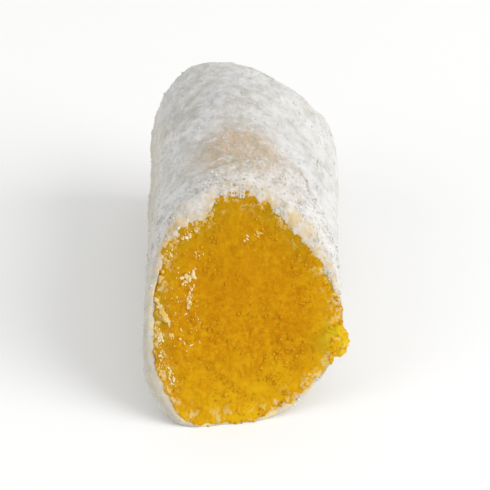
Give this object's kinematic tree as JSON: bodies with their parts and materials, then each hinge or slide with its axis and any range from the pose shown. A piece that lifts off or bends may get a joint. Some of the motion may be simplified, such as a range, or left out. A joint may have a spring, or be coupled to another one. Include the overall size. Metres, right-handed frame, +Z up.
{
  "type": "yema, half of a candied egg-yolk stick",
  "caption": "Half of a stick of candied egg-yolk paste in a coat of icing sugar, cut on the bias and lying on its side, with a crumbly golden cut face.",
  "frame": {"origin": "on the surface that the stick lies on, under the middle of its bounding box", "axes": "+Z up, +Y along the stick from the cut face to the far end, +X to the right when looking at the cut face"},
  "size_m": [0.021, 0.045, 0.0205],
  "materials": {
    "icing_sugar": "powdered icing sugar, matt and uneven, greyer and beige where it has taken up moisture",
    "yolk_paste": "moist, finely granular golden paste with a soft sheen"
  },
  "bodies": {
    "root": {"sugar_coat": "icing_sugar", "yolk_paste": "yolk_paste"}
  },
  "joints": []
}
